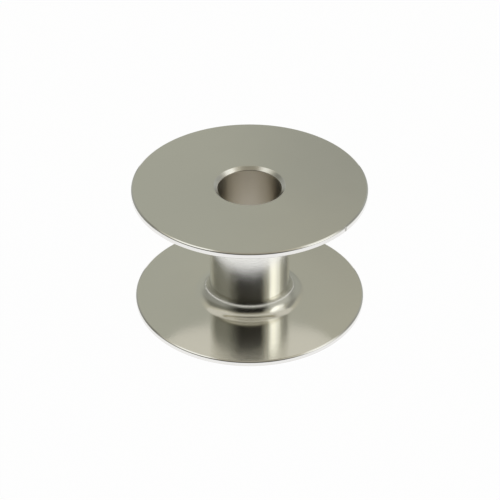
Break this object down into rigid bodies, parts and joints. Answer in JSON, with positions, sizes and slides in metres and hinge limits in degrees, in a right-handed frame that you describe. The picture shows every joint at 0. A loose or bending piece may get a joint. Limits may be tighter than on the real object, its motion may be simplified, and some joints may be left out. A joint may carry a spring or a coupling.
{
  "type": "sewing machine bobbin",
  "caption": "Tall nickel-plated steel bobbin turned in one piece, with plain round flanges, a barrel with rounded roots and a chamfered bore, made to hold sewing thread.",
  "frame": {"origin": "centre of the lower flange's outer face, on the bore axis", "axes": "+Z along the bore axis, from the lower flange to the upper one"},
  "size_m": [0.026, 0.026, 0.015],
  "materials": {
    "nickel_plate": "satin nickel plate on steel"
  },
  "bodies": {
    "root": {"bobbin": "nickel_plate"}
  },
  "joints": []
}
